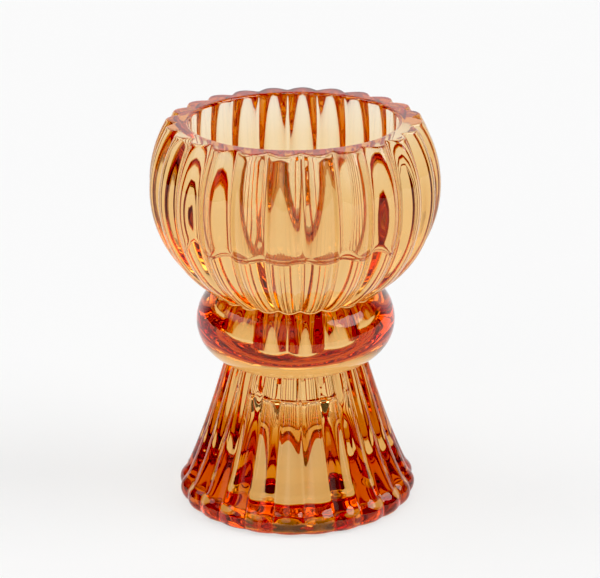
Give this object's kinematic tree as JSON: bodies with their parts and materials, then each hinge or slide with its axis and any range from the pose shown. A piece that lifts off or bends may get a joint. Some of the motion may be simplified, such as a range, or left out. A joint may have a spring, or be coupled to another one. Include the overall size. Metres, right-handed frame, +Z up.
{
  "type": "tealight holder",
  "caption": "Ribbed amber glass candle holder: a round tealight bowl on a smooth ring and a flared foot whose socket takes a dinner candle when turned over.",
  "frame": {"origin": "middle of the flat ring under the foot, on the table", "axes": "+Z up along the axis of the turned shape, out of the bowl's mouth; +X and +Y each pass through the crest of a rib"},
  "size_m": [0.066, 0.066, 0.09],
  "materials": {
    "bowl_glass": "clear pressed glass, fire polished, with a clear amber coat outside",
    "ring_glass": "clear pressed glass, fire polished, with a clear amber coat outside",
    "foot_glass": "clear pressed glass, fire polished, with a clear amber coat outside"
  },
  "bodies": {
    "root": {"tealight_bowl": "bowl_glass", "waist_ring": "ring_glass", "candle_foot": "foot_glass"}
  },
  "joints": []
}
